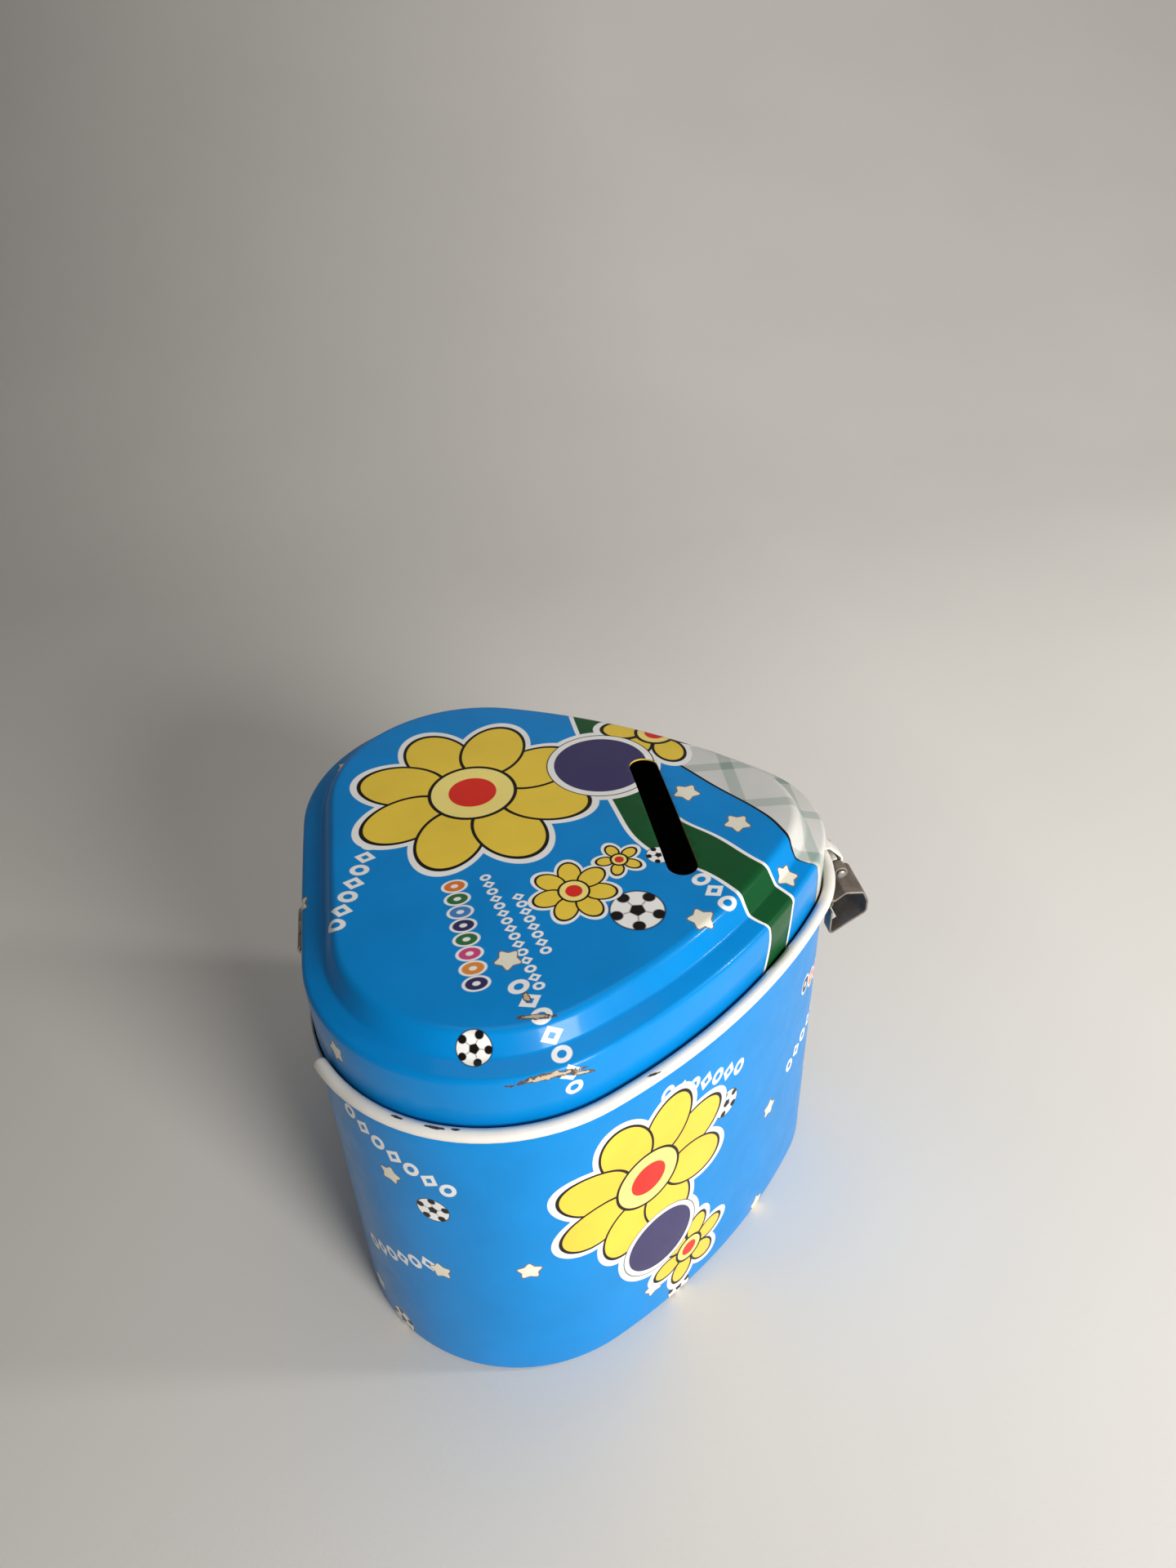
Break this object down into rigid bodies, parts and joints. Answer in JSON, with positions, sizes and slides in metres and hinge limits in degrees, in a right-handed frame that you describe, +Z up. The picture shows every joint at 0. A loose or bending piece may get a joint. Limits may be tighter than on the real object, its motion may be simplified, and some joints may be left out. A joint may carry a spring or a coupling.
{
  "type": "tin money box",
  "caption": "Rounded-triangle tin money box with a coin slot in its stepped hinged lid, a rolled rim and a swinging front hasp.",
  "frame": {"origin": "middle of the overall box in plan, on the plane the foot rests on", "axes": "+Z up, -Y towards the tip with the hasp, +Y towards the flat hinged side, X across the box"},
  "size_m": [0.094, 0.0962, 0.0769],
  "materials": {
    "printed_body": "gloss blue enamel with a printed teddy, stars and footballs, white rolled rim",
    "printed_lid": "gloss blue enamel with printed flowers, a green band, a white netted tip, stars and footballs",
    "white_enamel": "gloss white enamel",
    "tinplate": "bare tinplate, dulled",
    "steel_wire": "plain wire"
  },
  "bodies": {
    "body": {"body_wall": "printed_body", "base_panel": "tinplate", "hasp_staple": "tinplate", "hinge_pin": "steel_wire"},
    "lid": {"lid_shell": "printed_lid", "hasp_bracket": "white_enamel", "hasp_pin": "steel_wire"},
    "hasp": {"hasp_strap": "tinplate"}
  },
  "joints": [
    {"name": "lid_hinge", "type": "hinge", "parent": "body", "child": "lid", "pos_m": [0, 0.04695, 0.06325], "axis": [-1, 0, 0], "range_deg": [0, 105]},
    {"name": "hasp_hinge", "type": "hinge", "parent": "lid", "child": "hasp", "pos_m": [0, -0.0422, 0.0613], "axis": [-1, 0, 0], "range_deg": [0, 120]}
  ]
}
